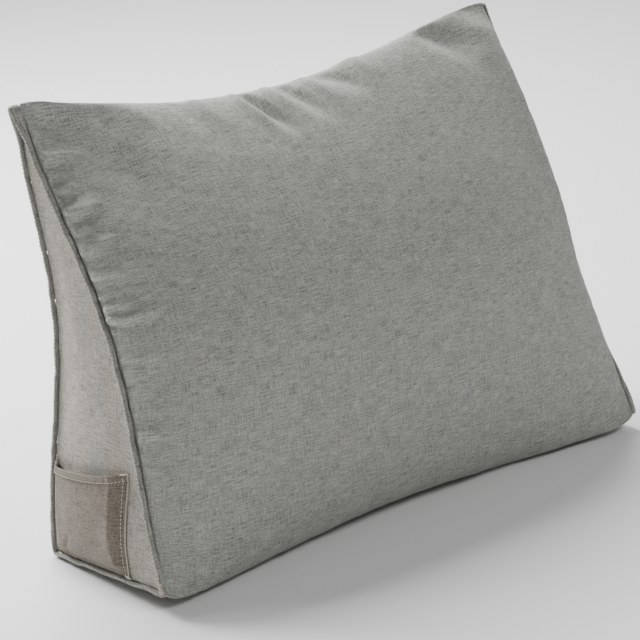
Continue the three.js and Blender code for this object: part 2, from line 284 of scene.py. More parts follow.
def capped(grid):  # adds rings over both ends, behind the side panels, down to one point
    ends = []
    for side, outer in ((-1, grid[0]), (1, grid[-1])):
        for scale in cushion["caps"]:
            y, z = (sideCentre + (outer[:, 1:] - sideCentre) * scale).T
            ends.append(np.stack([side * panelX(side, y, z), y, z], 1))
    count = len(cushion["caps"])
    return np.concatenate([ends[:count][::-1], grid, ends[count:]])


def simulated(grid):  # the filling presses on roomy cloth that is held at the side seams
    columns, caps = grid.shape[1], len(cushion["caps"])
    around = closedRound(capped(grid))
    mesh, builder = spreadGrid("cushionTrial", around, np.zeros(around.shape[:2] + (2,)))
    weld(builder)
    trial = finishPiece(mesh, builder)
    place = np.empty(len(mesh.vertices), np.int32)
    mesh.attributes["place"].data.foreach_get("value", place)
    row, column = place // (columns + 1), place % (columns + 1) % columns
    onFloor = around[row, column, 2] < 0.0005
    fixed = (row <= caps) | (row >= len(around) - 1 - caps) | onFloor
    held = trial.vertex_groups.new(name="held")
    held.add([int(i) for i in np.nonzero(fixed)[0]], 1.0, "REPLACE")
    modifier = trial.modifiers.new("cloth", "CLOTH")
    settings = modifier.settings
    settings.quality = 5
    settings.mass = 0.2
    settings.tension_stiffness = settings.compression_stiffness = 12
    settings.shear_stiffness = 4
    settings.bending_stiffness = 0.02
    settings.use_pressure = True
    settings.uniform_pressure_force = cushion["pressure"]
    settings.shrink_min = -cushion["growth"]
    settings.vertex_group_mass = "held"
    settings.effector_weights.gravity = 0
    modifier.collision_settings.use_collision = False
    modifier.point_cache.frame_start = 1
    modifier.point_cache.frame_end = cushion["frames"]
    for step in range(1, cushion["frames"] + 1):
        bpy.context.scene.frame_set(step)
    result = trial.evaluated_get(bpy.context.evaluated_depsgraph_get())
    moved = np.empty(len(place) * 3, np.float32)
    result.data.vertices.foreach_get("co", moved)
    blown = around.copy()
    blown[row, column] = moved.reshape(-1, 3) - middle
    bpy.context.scene.frame_set(1)
    bpy.data.objects.remove(trial, do_unlink=True)
    bpy.data.meshes.remove(mesh)
    return blown[caps:-caps, :columns]


def blurred(values, span):  # mean over the grid round each point
    weights = np.exp(-((np.arange(-2 * span, 2 * span + 1) / span) ** 2))
    weights /= weights.sum()
    before, after = values[:1].repeat(2 * span, 0), values[-1:].repeat(2 * span, 0)
    longer = np.concatenate([before, values, after])
    rows = sum(w * longer[k:k + len(values)] for k, w in enumerate(weights))
    return sum(w * np.roll(rows, 2 * span - k, 1) for k, w in enumerate(weights))


def wrinkled(grid):  # keeps the simulation's wrinkles and takes its swelling out
    moved = simulated(grid) - grid
    moved -= blurred(moved, cushion["span"])
    length = np.linalg.norm(moved, axis=2, keepdims=True)
    print("wrinkles reach", round(float(length.max()), 4), "mean", round(float(length.mean()), 5))
    moved *= np.minimum(1, cushion["limit"] / np.maximum(length, 1e-9))
    x, z = grid[..., 0], grid[..., 2]
    nearLeft = smooth(-0.14, -0.26, x) * smooth(0.02, 0.16, z)
    nearTop = smooth(0.33, 0.42, z) * smooth(0.2, 0.1, x)
    more = (cushion["keepNear"] - cushion["keep"]) * np.maximum(nearLeft, nearTop)
    return grid + moved * (cushion["keep"] + more)[..., None]


def halved(grid):  # twice as many rows and columns, on a smooth curve through the old ones
    rows = np.concatenate([2 * grid[:1] - grid[1:2], grid, 2 * grid[-1:] - grid[-2:-1]])
    between = (9 * (rows[1:-2] + rows[2:-1]) - rows[:-3] - rows[3:]) / 16
    tall = np.empty((2 * len(grid) - 1,) + grid.shape[1:])
    tall[0::2], tall[1::2] = grid, between
    around = (9 * (tall + np.roll(tall, -1, 1)) - np.roll(tall, 1, 1) - np.roll(tall, -2, 1)) / 16
    wide = np.empty((len(tall), 2 * tall.shape[1]) + grid.shape[2:])
    wide[:, 0::2], wide[:, 1::2] = tall, around
    return wide


def outward(grid):  # normals of a grid that is closed round its columns
    return unit(np.cross(np.gradient(grid, axis=0), np.roll(grid, -1, 1) - np.roll(grid, 1, 1)))


def creaseHeight(x, z):
    height = np.zeros_like(x)
    for crease in creases:
        start = np.array([crease["x"][0], crease["z"][0]])
        along = np.array([crease["x"][1], crease["z"][1]]) - start
        length = np.linalg.norm(along)
        across, down = x - start[0], z - start[1]
        share = np.clip((across * along[0] + down * along[1]) / length ** 2, 0, 1)
        apart = np.hypot(across - along[0] * share, down - along[1] * share)
        ahead = along[0] * down - along[1] * across > 0
        half = crease["half"] * np.where(ahead, crease.get("sharp", 1), 1)
        height += crease["rise"] * (1 - smooth(0.3, 1, share)) * np.exp(-((apart / half) ** 2))
    return height


def puckerHeight(row, place, length, fromSeam):
    random = np.random.default_rng(row["seed"])
    height = np.zeros_like(fromSeam)
    low, high = row["part"]
    at = low * length
    while at < high * length:
        deep = row["deep"] * random.uniform(0.35, 1.0) * random.choice((1, 1, -0.6))
        reach = row["reach"] * random.uniform(0.5, 1.3)
        half = row["pitch"] * random.uniform(0.20, 0.34)
        tilt = random.uniform(-0.2, 0.35)
        near = np.exp(-(((place - at - tilt * fromSeam) / half) ** 2))
        height += deep * near * np.exp(-fromSeam / reach) * smooth(0.001, 0.009, fromSeam)
        at += row["pitch"] * random.uniform(0.7, 1.5)
    return height


def makeCushion():
    stations = np.sin((np.arange(cushion["stations"] + 1) / cushion["stations"] - 0.5) * np.pi)
    grid = np.stack([section(u) for u in stations])
    grid = wrinkled(grid)
    grid = halved(grid)
    rows, columns = grid.shape[:2]
    steps = np.linalg.norm(np.diff(grid, axis=0), axis=2)
    fromLeft = np.concatenate([np.zeros((1, columns)), np.cumsum(steps, 0)])
    fromRight = fromLeft[-1:] - fromLeft
    fromSeam = np.minimum(fromLeft, fromRight)
    firsts = np.cumsum((0,) + cushion["counts"]) * 2  # first columns of the front, back and base
    fromTop = np.abs(np.arange(columns) - firsts[1]) * edgeLengths[0] / (firsts[1] - firsts[0])
    normals = outward(grid)
    x, z = grid[..., 0], grid[..., 2]

    # Creases fade out at the seams, the foot and the top edge, so that its outline stays clean.
    lift = creaseHeight(x, z) * smooth(0, 0.04, z) * smooth(0.001, 0.010, fromSeam)
    trough = smooth(0.0, -0.5, normals[..., 1]) * smooth(0.004, 0.026, fromTop)
    raised = smooth(0.5, 0.0, normals[..., 1]) * smooth(0.002, 0.022, fromTop)
    lift *= np.where(lift < 0, trough, raised)
    for row in puckers:
        span = slice(firsts[row["edge"]], firsts[row["edge"] + 1])
        length = edgeLengths[row["edge"]]
        place = np.linspace(0, length, span.stop - span.start, endpoint=False)[None, :]
        distance = (fromLeft if row["side"] < 0 else fromRight)[:, span]
        lift[:, span] += puckerHeight(row, place, length, distance)
    pitch = cushion["lumpPitch"]
    lumps = waves(x + z * 0.6, pitch, 2) * waves(z - x * 0.3, pitch, 4)
    lift += cushion["lump"] * lumps * smooth(0.01, 0.08, fromSeam)

    # The front stands over the right seam.
    fromIt, reach = cushion["bulgeFrom"]
    over = np.exp(-(((fromRight - fromIt) / reach) ** 2))
    over *= smooth(0.02, 0.07, z) * smooth(0.452, 0.42, z)
    low, high = cushion["bulge"]
    bulge = low + (high - low) * smooth(0.17, 0.27, z)
    lift += bulge * over * smooth(0.3, -0.3, normals[..., 1])

    lift *= smooth(0, cushion["footFade"], z)
    lift[0] = lift[-1] = 0
    grid = grid + unit(normals * (cushion["sideways"], 1, 1)) * lift[..., None]
    share = smooth(*skyline["heights"], z)
    grid[..., 2] += np.interp(x, skyline["x"], skyline["rise"]) * share
    grid[..., 2] = np.maximum(grid[..., 2], 0)
    ring = grid[rows // 2]
    girthSteps = np.linalg.norm(np.roll(ring, -1, 0) - ring, axis=1)
    girth = np.concatenate([[0], np.cumsum(girthSteps)])
    caps = len(cushion["caps"])
    lengthwise = np.pad(fromLeft[:, firsts[1] // 2], caps, mode="edge")
    weave = np.stack(np.broadcast_arrays(lengthwise[:, None], girth[None, :]), -1)
    mesh, builder = spreadGrid("cushionCover", closedRound(capped(grid)), weave)
    weld(builder)
    piece = finishPiece(mesh, builder)
    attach(piece, "root")
    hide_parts("cushion")
    return piece


cushionCover = makeCushion()
print("cushion made")

# The side panels, stretched over the ends of the cushion

panel = {
    "steps": 150,  # grid steps along each side of the triangle
    "rings": 40,
    "stand": 0.0023,  # of its outer face from the cushion
    "thick": 0.0012,
    "inset": 0.0028,  # of its edge from the seam
    "swag": 0.0011,  # soft unevenness
    "pucker": 0.0005,
    "puckerPitch": 0.013,
    "puckerReach": 0.008,
}


def triangle(steps):  # points round the seam triangle, front first, and their distance along it
    loop, along = [], []
    for k in range(3):
        share = (np.arange(steps) / steps)[:, None]
        loop.append(corners[k] + (corners[(k + 1) % 3] - corners[k]) * share)
        along.append(sum(edgeLengths[:k]) + edgeLengths[k] * share[:, 0])
    return np.vstack(loop), np.concatenate(along)


def makePanel(side, name, node):
    loop, along = triangle(panel["steps"])
    scales = 1 - np.linspace(panel["inset"], sideRadius, panel["rings"]) / sideRadius
    spots = sideCentre + (loop[None] - sideCentre) * scales[:, None, None]
    y, z = spots[..., 0], spots[..., 1]
    fromEdge = (1 - scales[:, None]) * sideRadius
    swag = panel["swag"] * waves(y * 2.4 + z * 0.4, 0.11, 21) * waves(z, 0.2, 22)
    pucker = panel["pucker"] * waves(along[None, :], panel["puckerPitch"], 23 + side)
    pucker = pucker * np.exp(-fromEdge / panel["puckerReach"]) * smooth(0, 0.003, fromEdge)
    stand = panel["stand"] + swag * smooth(0, 0.02, fromEdge) + pucker
    x = side * (panelX(side, y, z) + stand)
    grid = np.stack([x, y, z], -1)
    weave = np.stack([y + 0.9 * side, z + 0.4], -1)
    mesh, builder = spreadGrid(name, closedRound(grid), closedRound(weave))
    weld(builder)
    inward = [face for face in builder.faces if face.normal.x * side < 0]
    bmesh.ops.reverse_faces(builder, faces=inward)
    bmesh.ops.solidify(builder, geom=list(builder.faces), thickness=panel["thick"])
    piece = finishPiece(mesh, builder)
    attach(piece, "root")
    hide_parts(node)
    return piece


panelLeft = makePanel(-1, "sidePanelLeft", "side_panel_left")
panelRight = makePanel(1, "sidePanelRight", "side_panel_right")
print("side panels made")

# The raised seams round the panels

ridge = {
    "steps": 260,  # grid steps along each side of the triangle
    "round": 18,  # grid steps round the ridge
    "wide": 0.0022,  # half of its width
    "tall": 0.0031,  # half of its height
    "stand": 0.0035,  # of its middle from the seam
    "pressed": 0.55,  # how far the right one is pressed down between its corners
    "corner": 0.0035,  # how far its corners are rounded
    "uneven": 0.0003,
    "wobble": 0.0005,
    "ear": (0.0070, 0.0),  # how much further the top corners stand out, left and right
    "earReach": 0.034,
    "earShare": (0.5, 0.6, 0.12),  # how much of it its middle, its height and its width take
    "earRise": (0.0045, 0.0),
    "stitchPitch": 0.0042,
    "pinch": 0.0006,  # how deep each stitch draws it in
    "squareness": 0.82,
}


# The middle of the ridge: places, directions over the cloth, distance along, height and width
def ridgeLine(side):
    end = 0 if side < 0 else 1
    loop, along = triangle(ridge["steps"])
    loop = rounded(loop, ridge["corner"])
    forward = unit(np.roll(loop, -1, 0) - np.roll(loop, 1, 0))
    away = np.stack([-forward[:, 1], forward[:, 0]], 1)
    wobble = ridge["wobble"] * waves(along, 0.05, 31 + side)
    loop = loop + away * wobble[:, None]
    z = loop[:, 1].copy()
    top = pillow["height"]
    ear = ridge["ear"][end] * smooth(top - ridge["earReach"], top, z)
    standShare, tallShare, wideShare = ridge["earShare"]
    low = smooth(0.035, 0.095, z) * smooth(0.475, 0.435, z) * (ridge["pressed"] if side > 0 else 0)
    loop[:, 1] += ridge["earRise"][end] * smooth(0.42, top, z)
    sway = 0.5 * ridge["wobble"] * waves(along, 0.035, 33 + side)
    stand = (ridge["stand"] + ear * standShare + sway) * (1 - low)
    x = side * (seamX(side, loop[:, 1]) + stand)
    line = np.column_stack([x, loop])
    uneven = ridge["uneven"]
    tall = ridge["tall"] + uneven * waves(along, 0.02, 35 + side) + ear * tallShare
    wide = ridge["wide"] + uneven * waves(along, 0.026, 37 + side) + ear * wideShare
    away = np.column_stack([np.zeros(len(loop)), away])
    return line, away, along, tall * (1 - low), wide


def makeRidge(side, name, nodes):
    line, away, along, tall, wide = ridgeLine(side)
    out = np.array([side, 0.0, 0.0])
    turn = np.linspace(0, 2 * np.pi, ridge["round"] + 1)
    pinch = ridge["pinch"] * (0.5 + 0.5 * np.cos(2 * np.pi * along / ridge["stitchPitch"]))
    cosine, sine = (
        np.sign(part) * np.abs(part) ** ridge["squareness"] for part in (np.cos(turn), np.sin(turn))
    )
    grid = (
        line[:, None]
        + out * (tall - pinch)[:, None, None] * cosine[None, :, None]
        + away[:, None] * wide[:, None, None] * sine[None, :, None]
    )
    grid = np.concatenate([grid, grid[:1]])
    lengths = np.concatenate([along, [seamGirth]])
    places = np.broadcast_arrays(lengths[:, None] + side, turn[None, :] * ridge["wide"])
    weave = np.stack(places, -1)
    mesh, builder = spreadGrid(name, grid, weave)
    weld(builder)
    piece = finishPiece(mesh, builder)
    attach(piece, "root")
    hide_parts(*nodes)
    return piece


ridgeLeft = makeRidge(
    -1, "raisedSeamLeft", ("seam_front_left", "seam_back_left", "seam_base_left")
)
ridgeRight = makeRidge(
    1, "raisedSeamRight", ("seam_front_right", "seam_back_right", "seam_base_right")
)
print("raised seams made")

# The patch pocket on the left panel

pocket = {
    "footBack": (0.088, 0.009),  # its corners, as Y and height
    "footFront": (-0.035, 0.020),
    "mouthFront": (-0.028, 0.122),
    "mouthBack": (0.093, 0.101),
    "stand": 0.0026,  # of its inner face from the panel's cushion
    "thick": 0.0013,
    "gape": 0.0095,  # how far its mouth stands open
    "gapeLow": 0.72,  # share of that near the foot
    "openBack": 0.14,  # share of its width or height over which it opens up
    "openFront": 0.13,
    "openFoot": 0.13,
    "dip": 0.0025,  # of the mouth between its corners
    "hem": 0.0062,
    "hemStep": 0.0012,
    "hemThick": 0.0014,  # more than the rest of the cloth
    "crease": {"high": 0.0004, "across": 0.87, "reach": 0.025},
    "slant": {"deep": 0.0020, "across": 0.15, "lean": 0.55, "reach": 0.03},  # a fold at the foot
    "ripple": 0.0005,
    "columns": 110,
    "rows": 96,
}


def pocketSpot(across, up, lift=0.0):  # a place on the pocket's outer face
    across, up = np.broadcast_arrays(np.asarray(across, float), np.asarray(up, float))
    footBack, footFront, mouthFront, mouthBack = (
        np.array(pocket[k]) for k in ("footBack", "footFront", "mouthFront", "mouthBack")
    )
    foot = footBack + (footFront - footBack) * across[..., None]
    mouth = mouthBack + (mouthFront - mouthBack) * across[..., None]
    spot = foot + (mouth - foot) * up[..., None]
    dip = pocket["dip"] * np.sin(np.pi * np.clip(across, 0, 1)) * smooth(0.5, 1, up)
    y, z = spot[..., 0], spot[..., 1] - dip
    isOpen = smooth(0, pocket["openBack"], across) * smooth(1, 1 - pocket["openFront"], across)
    gape = pocket["gapeLow"] + (1 - pocket["gapeLow"]) * up
    rise = smooth(0, pocket["openFoot"], up) * gape
    tall = np.linalg.norm(mouth - foot, axis=-1)
    hem = smooth(pocket["hem"] + pocket["hemStep"], pocket["hem"], (1 - up) * tall)
    look = pocket["crease"]
    crease = look["high"] * np.exp(-(((across - look["across"]) / look["reach"]) ** 2))
    crease = crease * smooth(0.1, 0.4, up)
    look = pocket["slant"]
    middleLine = look["across"] + look["lean"] * up
    slant = look["deep"] * np.exp(-(((across - middleLine) / look["reach"]) ** 2))
    slant = slant * smooth(0.32, 0.12, up) * smooth(0, 0.05, up)
    ripple = pocket["ripple"] * waves(y * 1.6, 0.05, 41) * waves(z, 0.07, 42) * isOpen
    stand = pocket["stand"] + pocket["thick"] + pocket["gape"] * isOpen * rise
    stand = stand + pocket["hemThick"] * hem + crease - slant + ripple + lift
    return np.stack([-(panelX(-1, y, z) + stand), y, z], -1)


def makePocket():
    counts = (pocket["columns"], pocket["rows"])
    grid = pocketSpot(*np.meshgrid(*(np.linspace(0, 1, count) for count in counts)))
    weave = np.stack([grid[..., 1] + 0.2, grid[..., 2] + 0.3], -1)
    mesh, builder = spreadGrid("pocketCloth", grid, weave)
    inward = [face for face in builder.faces if face.normal.x > 0]
    bmesh.ops.reverse_faces(builder, faces=inward)
    bmesh.ops.solidify(builder, geom=list(builder.faces), thickness=pocket["thick"])
    piece = finishPiece(mesh, builder)
    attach(piece, "root")
    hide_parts("pocket")
    return piece


pocketCloth = makePocket()
print("pocket made")

# Thread

thread = {
    "width": 0.0008,
    "seamStitch": 0.0026,  # length of a stitch on the raised seams
    "seamWidth": 0.0015,
    "angles": (0.3, 0.8, -0.5),  # where stitches lie on a raised seam's front, back and foot
    "clear": 6,  # grid steps of the ridge without stitches at each corner
    "hemStitch": 0.0032,
    "hemGap": 0.0040,  # from the start of one stitch to the start of the next
    "hemBelow": 0.0006,  # of the stitches under the hem's edge
    "pocketHeight": 0.1,
    "sideRow": 0.965,  # place of the upright row, as a share of the pocket's width
    "rowEnd": 0.985,
    "noise": 700,
    "shade": 0.65,  # tone of its dark parts
}

tacks = [  # short close stitches at the pocket's corners, by share of its width and height
    {"across": (0.94, 1.02), "up": (1.0, 1.0), "rows": 2},
    {"across": (0.95, 1.04), "up": (0.0, -0.01), "rows": 3},
    {"across": (0.02, 0.09), "up": (-0.02, -0.02), "rows": 2},
]


def stitchRow(builder, line, outs, pitch, length, width):  # small rounded threads along a line
    steps = np.linalg.norm(np.diff(line, axis=0), axis=1)
    at = np.concatenate([[0], np.cumsum(steps)])
    for place in np.arange(pitch / 2, at[-1] - length / 2 + 1e-6, pitch):
        spot, ahead, out = (
            np.array([np.interp(p, at, column[:, k]) for k in range(3)])
            for p, column in ((place, line), (place + 0.0005, line), (place, outs))
        )
        forward = unit(ahead - spot)
        sideways = unit(np.cross(out, forward))
        upward = np.cross(forward, sideways)
        axes = np.column_stack([forward * length, sideways * width, upward * width])
        place4 = Matrix.Translation(Vector((spot + middle).tolist()))
        place4 = place4 @ Matrix(axes.tolist()).to_4x4()
        bmesh.ops.create_uvsphere(builder, u_segments=6, v_segments=5, radius=0.5, matrix=place4)


def threadPiece(name, builder):
    mesh = bpy.data.meshes.new(name)
    piece = finishPiece(mesh, builder)
    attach(piece, "root")
    return piece


def makeSeamStitches(side, name):
    builder = bmesh.new()
    line, away, along, tall, wide = ridgeLine(side)
    out = np.array([side, 0.0, 0.0])
    steps = ridge["steps"]
    clear, pitch = thread["clear"], ridge["stitchPitch"]
    for first, angle in zip((0, steps, 2 * steps), thread["angles"]):
        part = slice(first + clear, first + steps - clear)
        outs = out * math.cos(angle) + away[part] * math.sin(angle)
        spots = line[part] + out * (tall[part] * math.cos(angle))[:, None]
        spots = spots + away[part] * (wide[part] * math.sin(angle))[:, None]
        stitchRow(builder, spots, outs, pitch, thread["seamStitch"], thread["seamWidth"])
    return threadPiece(name, builder)


def makePocketStitches():
    builder = bmesh.new()
    below = 1 - (pocket["hem"] + thread["hemBelow"]) / thread["pocketHeight"]
    hemLine = pocketSpot(np.linspace(0.01, thread["rowEnd"], 80), below, 0.0003)
    sideLine = pocketSpot(thread["sideRow"], np.linspace(0.0, thread["rowEnd"], 80), 0.0002)
    outs = np.tile((-1.0, 0, 0), (len(hemLine), 1))
    for line in (hemLine, sideLine):
        stitchRow(builder, line, outs, thread["hemGap"], thread["hemStitch"], thread["width"])
    for tack in tacks:
        spots = pocketSpot(np.array(tack["across"]), np.array(tack["up"]), 0.0005)
        sideways = np.array([0, *unit(np.cross([1.0, 0, 0], spots[1] - spots[0])[1:])])
        for row in np.arange(tack["rows"]) - (tack["rows"] - 1) / 2:
            line = np.linspace(spots[0], spots[1], 8) + sideways * row * thread["width"]
            length = np.linalg.norm(spots[1] - spots[0])
            stitchRow(builder, line, outs[:8], length, length, thread["width"] * 1.2)
    return threadPiece("pocketStitches", builder)


# Close stitches over the raised seam at the lower front corner
footTack = {
    "threads": 6,
    "first": 1,  # grid step of the ridge where they begin
    "around": (-0.9, 1.3),  # from where to where they reach round it
    "above": 0.0003,
    "width": 0.0017,
}


def makeFootTack():
    builder = bmesh.new()
    line, away, along, tall, wide = ridgeLine(-1)
    turn = np.linspace(*footTack["around"], 12)
    upright, across = np.array([-1.0, 0, 0]) * np.cos(turn)[:, None], np.sin(turn)[:, None]
    for at in range(footTack["first"], footTack["first"] + footTack["threads"]):
        spots = line[at] + upright * tall[at] + away[at] * (wide[at] * across)
        outs = upright + away[at] * across
        reach = np.linalg.norm(np.diff(spots, axis=0), axis=1).sum()
        raised = spots + outs * footTack["above"]
        stitchRow(builder, raised, outs, reach / 4, reach / 3, footTack["width"])
    return threadPiece("footTack", builder)


rolledEdge = {
    "size": 0.00075,  # half of its thickness
    "uneven": 0.0002,
    "end": 0.0004,  # the same at its ends
    "pitch": 0.0032,
    "length": 0.104,
    "sunk": 0.0004,
    "weaveReach": 0.0013,
}


def makePocketEdge():  # the rolled front edge of the pocket
    line = pocketSpot(1.0, np.linspace(-0.02, 1.0, 90), -rolledEdge["sunk"])
    turn = np.linspace(0, 2 * np.pi, 13)
    along = np.linspace(0, rolledEdge["length"], len(line))
    wave = np.cos(2 * np.pi * along / rolledEdge["pitch"])
    size = rolledEdge["size"] + rolledEdge["uneven"] * wave
    size[0] = size[-1] = rolledEdge["end"]
    out, away = np.array([-1.0, 0, 0]), np.array([0, -1.0, 0])
    grid = line[:, None] + size[:, None, None] * (
        out * np.cos(turn)[None, :, None] + away * np.sin(turn)[None, :, None]
    )
    places = np.broadcast_arrays(along[:, None], turn[None, :] * rolledEdge["weaveReach"])
    weave = np.stack(places, -1)
    mesh, builder = spreadGrid("pocketEdge", grid, weave)
    weld(builder)
    ends = [edge for edge in builder.edges if edge.is_boundary]
    bmesh.ops.holes_fill(builder, edges=ends, sides=0)
    piece = finishPiece(mesh, builder)
    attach(piece, "root")
    return piece


stitchesLeft = makeSeamStitches(-1, "seamStitchesLeft")
stitchesRight = makeSeamStitches(1, "seamStitchesRight")
pocketStitches = makePocketStitches()
pocketEdge = makePocketEdge()
footStitches = makeFootTack()
print("stitches made")

# Materials


def socket(group, name, kind, output=False):
    way = "OUTPUT" if output else "INPUT"
    return group.interface.new_socket(name=name, in_out=way, socket_type=kind)


def node(tree, kind, x, y, **settings):
    made = tree.nodes.new(kind)
    made.location = (x, y)
    for key, value in settings.items():
        setattr(made, key, value)
    return made


def mathNode(tree, operation, x, y, *values):
    made = node(tree, "ShaderNodeMath", x, y, operation=operation)
    for index, value in enumerate(values):
        if isinstance(value, (int, float)):
            made.inputs[index].default_value = value
        else:
            tree.links.new(value, made.inputs[index])
    return made.outputs[0]


def stretchedNoise(tree, vector, across, along, detail, x, y):
    mapping = node(tree, "ShaderNodeMapping", x, y)
    mapping.inputs["Scale"].default_value = (1 / across, 1 / along, 1)
    noise = node(tree, "ShaderNodeTexNoise", x + 180, y, noise_dimensions="2D")
    noise.inputs["Scale"].default_value = 1
    noise.inputs["Detail"].default_value = detail
    noise.inputs["Roughness"].default_value = 0.5
    tree.links.new(vector, mapping.inputs["Vector"])
    tree.links.new(mapping.outputs[0], noise.inputs["Vector"])
    return noise.outputs["Fac"]


def ramp(tree, value, low, high, x, y):
    made = node(tree, "ShaderNodeMapRange", x, y)
    made.inputs["From Min"].default_value = low
    made.inputs["From Max"].default_value = high
    tree.links.new(value, made.inputs["Value"])
    return made.outputs[0]


heather = {
    "weft": (0.0150, 0.0009, 1.0),  # size across and along the cloth, and detail, of each noise
    "warp": (0.0009, 0.0110, 1.0),
    "fleck": (0.0050, 0.0008, 0.0),
    "grain": (0.0016, 0.0012, 0.0),
    "band": (0.0050, 0.0700, 2.0),
    "cloud": (0.0300, 0.0140, 2.0),
    "threadPitch": 0.0012,
    "weftTone": 1.3,  # how strongly each counts in the tone
    "warpTone": 1.0,
    "grainTone": 0.8,
    "cloudTone": 0.35,
    "fleckRange": (0.36, 0.22),
    "bandRange": (0.40, 0.66),
    "relief": 0.25,
}


# A plain weave of uneven threads: their tone, dark flecks, bands along the warp, and relief
def makeWeaveGroup():
    group = bpy.data.node_groups.new("heatherWeave", "ShaderNodeTree")
    socket(group, "Place", "NodeSocketVector")
    for name in ("Tone", "Fleck", "Band", "Height"):
        socket(group, name, "NodeSocketFloat", output=True)
    inside = node(group, "NodeGroupInput", -1300, 0)
    outside = node(group, "NodeGroupOutput", 900, 0)
    place = inside.outputs["Place"]
    noises = {
        name: stretchedNoise(group, place, *heather[name], -1100, 600 - 250 * row)
        for row, name in enumerate(("weft", "warp", "fleck", "grain", "band", "cloud"))
    }
    tone = -heather["weftTone"] / 2
    for row, name in enumerate(("weft", "warp", "grain", "cloud")):
        values = (noises[name], heather[name + "Tone"], tone)
        tone = mathNode(group, "MULTIPLY_ADD", 150 * row - 600, 600 - 100 * row, *values)
    fleck = ramp(group, noises["fleck"], *heather["fleckRange"], -600, 100)
    band = ramp(group, noises["band"], *heather["bandRange"], -600, -300)
    parts = node(group, "ShaderNodeSeparateXYZ", -1100, -1000)
    group.links.new(place, parts.inputs[0])
    turn = 2 * math.pi / heather["threadPitch"]
    sines = []
    for axis, y in ((0, -900), (1, -1100)):
        angle = mathNode(group, "MULTIPLY", -800, y, parts.outputs[axis], turn)
        sines.append(mathNode(group, "SINE", -600, y, angle))
    threads = mathNode(group, "MULTIPLY", -400, -1000, *sines)
    height = mathNode(group, "MULTIPLY_ADD", 300, -200, threads, heather["relief"], tone)
    for name, value in (("Tone", tone), ("Fleck", fleck), ("Band", band), ("Height", height)):
        group.links.new(value, outside.inputs[name])
    return group


weaveGroup = makeWeaveGroup()


def clothMaterial(name, look):
    material = bpy.data.materials.new(name)
    material.use_nodes = True
    tree = material.node_tree
    shader = tree.nodes["Principled BSDF"]
    shader.inputs["Roughness"].default_value = 0.9
    shader.inputs["Specular IOR Level"].default_value = 0.2
    shader.inputs["Sheen Weight"].default_value = 0.2
    shader.inputs["Sheen Roughness"].default_value = 0.5
    place = node(tree, "ShaderNodeUVMap", -1300, 0, uv_map="weave")
    cloth = node(tree, "ShaderNodeGroup", -1100, 0, node_tree=weaveGroup)
    tree.links.new(place.outputs[0], cloth.inputs["Place"])
    tone = look["base"]
    for row, (name, share) in enumerate(
        (("Band", look["band"]), ("Fleck", -look["fleck"]), ("Tone", look["thread"]))
    ):
        values = (cloth.outputs[name], share, tone)
        tone = mathNode(tree, "MULTIPLY_ADD", 150 * row - 800, 100 * row - 100, *values)
    mix = node(tree, "ShaderNodeMix", -250, 100, data_type="RGBA")
    mix.inputs["A"].default_value = (*look["dark"], 1)
    mix.inputs["B"].default_value = (*look["light"], 1)
    warm = node(tree, "ShaderNodeMix", -80, 200, data_type="RGBA", blend_type="MULTIPLY")
    warm.inputs["B"].default_value = (*look["warmth"], 1)
    tree.links.new(tone, mix.inputs["Factor"])
    tree.links.new(cloth.outputs["Band"], warm.inputs["Factor"])
    tree.links.new(mix.outputs["Result"], warm.inputs["A"])
    tree.links.new(warm.outputs["Result"], shader.inputs["Base Color"])
    raised = node(tree, "ShaderNodeBump", -250, -200)
    raised.inputs["Strength"].default_value = look["bump"]
    raised.inputs["Distance"].default_value = 0.0004
    tree.links.new(cloth.outputs["Height"], raised.inputs["Height"])
    tree.links.new(raised.outputs[0], shader.inputs["Normal"])
    return material


# Colours of the dark and light threads, the tint of the bands, how strongly each effect counts
cloths = {
    "cushionCloth": {
        "dark": (0.052, 0.053, 0.047), "light": (0.475, 0.484, 0.446), "warmth": (1, 0.99, 0.97),
        "thread": 0.56, "fleck": 0.16, "band": 0.05, "base": 0.01, "bump": 0.4,
    },
    # The raised seams are sewn from the cushion and panel cloth. Their darker thread colours here
    # are painted shade, standing in for the shadow on and beside the ridges.
    "seamClothPaintedShade": {
        "dark": (0.042, 0.041, 0.035), "light": (0.34, 0.336, 0.308), "warmth": (1, 0.98, 0.95),
        "thread": 0.7, "fleck": 0.25, "band": 0.05, "base": 0.0, "bump": 0.7,
    },
    "panelCloth": {
        "dark": (0.075, 0.071, 0.062), "light": (0.455, 0.437, 0.396), "warmth": (1, 0.94, 0.86),
        "thread": 0.68, "fleck": 0.25, "band": 0.10, "base": -0.08, "bump": 0.4,
    },
    "pocketCloth": {
        "dark": (0.030, 0.025, 0.019), "light": (0.245, 0.213, 0.177), "warmth": (1, 0.96, 0.91),
        "thread": 0.68, "fleck": 0.30, "band": 0.06, "base": -0.04, "bump": 0.4,
    },
}


def threadMaterial(name, colour):
    material = bpy.data.materials.new(name)
    material.use_nodes = True
    tree = material.node_tree
    shader = tree.nodes["Principled BSDF"]
    shader.inputs["Roughness"].default_value = 0.7
    shader.inputs["Specular IOR Level"].default_value = 0.3
    place = node(tree, "ShaderNodeTexCoord", -900, 0)
    noise = node(tree, "ShaderNodeTexNoise", -700, 0)
    noise.inputs["Scale"].default_value = thread["noise"]
    tree.links.new(place.outputs["Object"], noise.inputs["Vector"])
    mix = node(tree, "ShaderNodeMix", -300, 0, data_type="RGBA")
    mix.inputs["A"].default_value = (*(c * thread["shade"] for c in colour), 1)
    mix.inputs["B"].default_value = (*colour, 1)
    tree.links.new(noise.outputs["Fac"], mix.inputs["Factor"])
    tree.links.new(mix.outputs["Result"], shader.inputs["Base Color"])
    return material


